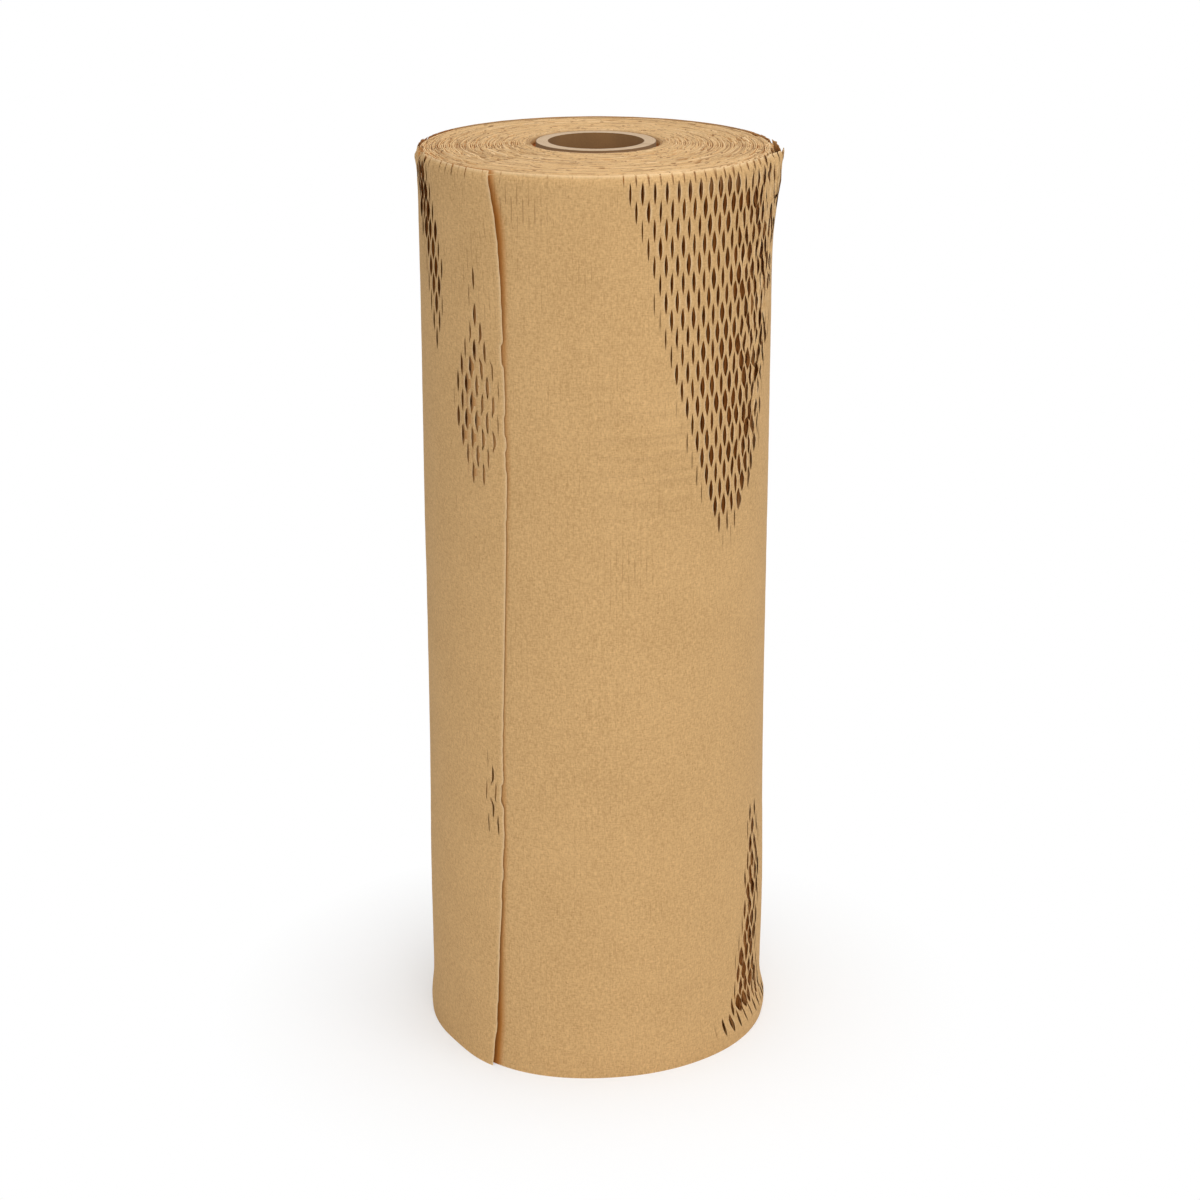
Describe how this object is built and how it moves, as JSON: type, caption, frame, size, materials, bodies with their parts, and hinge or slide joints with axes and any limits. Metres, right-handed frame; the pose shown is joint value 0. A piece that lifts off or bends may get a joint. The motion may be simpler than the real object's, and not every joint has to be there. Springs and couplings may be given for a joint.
{
  "type": "honeycomb paper roll",
  "caption": "Roll of slit kraft paper on a cardboard core, standing on end, with part of its honeycomb slits opened and its last turn's edge loose.",
  "frame": {"origin": "on the core's axis at the bottom end of the roll, in the plane it stands on", "axes": "+Z along the core's axis towards the end where the core stands proud, -Y to the front, so that the last turn's free edge is at the front, left of the middle, and +X to its right"},
  "size_m": [0.1908, 0.1874, 0.5016],
  "materials": {
    "kraft_paper": "matt brown kraft, uncoated",
    "core_board": "spiral-wound grey-brown board"
  },
  "bodies": {
    "root": {"paper_roll": "kraft_paper", "core_tube": "core_board"}
  },
  "joints": []
}
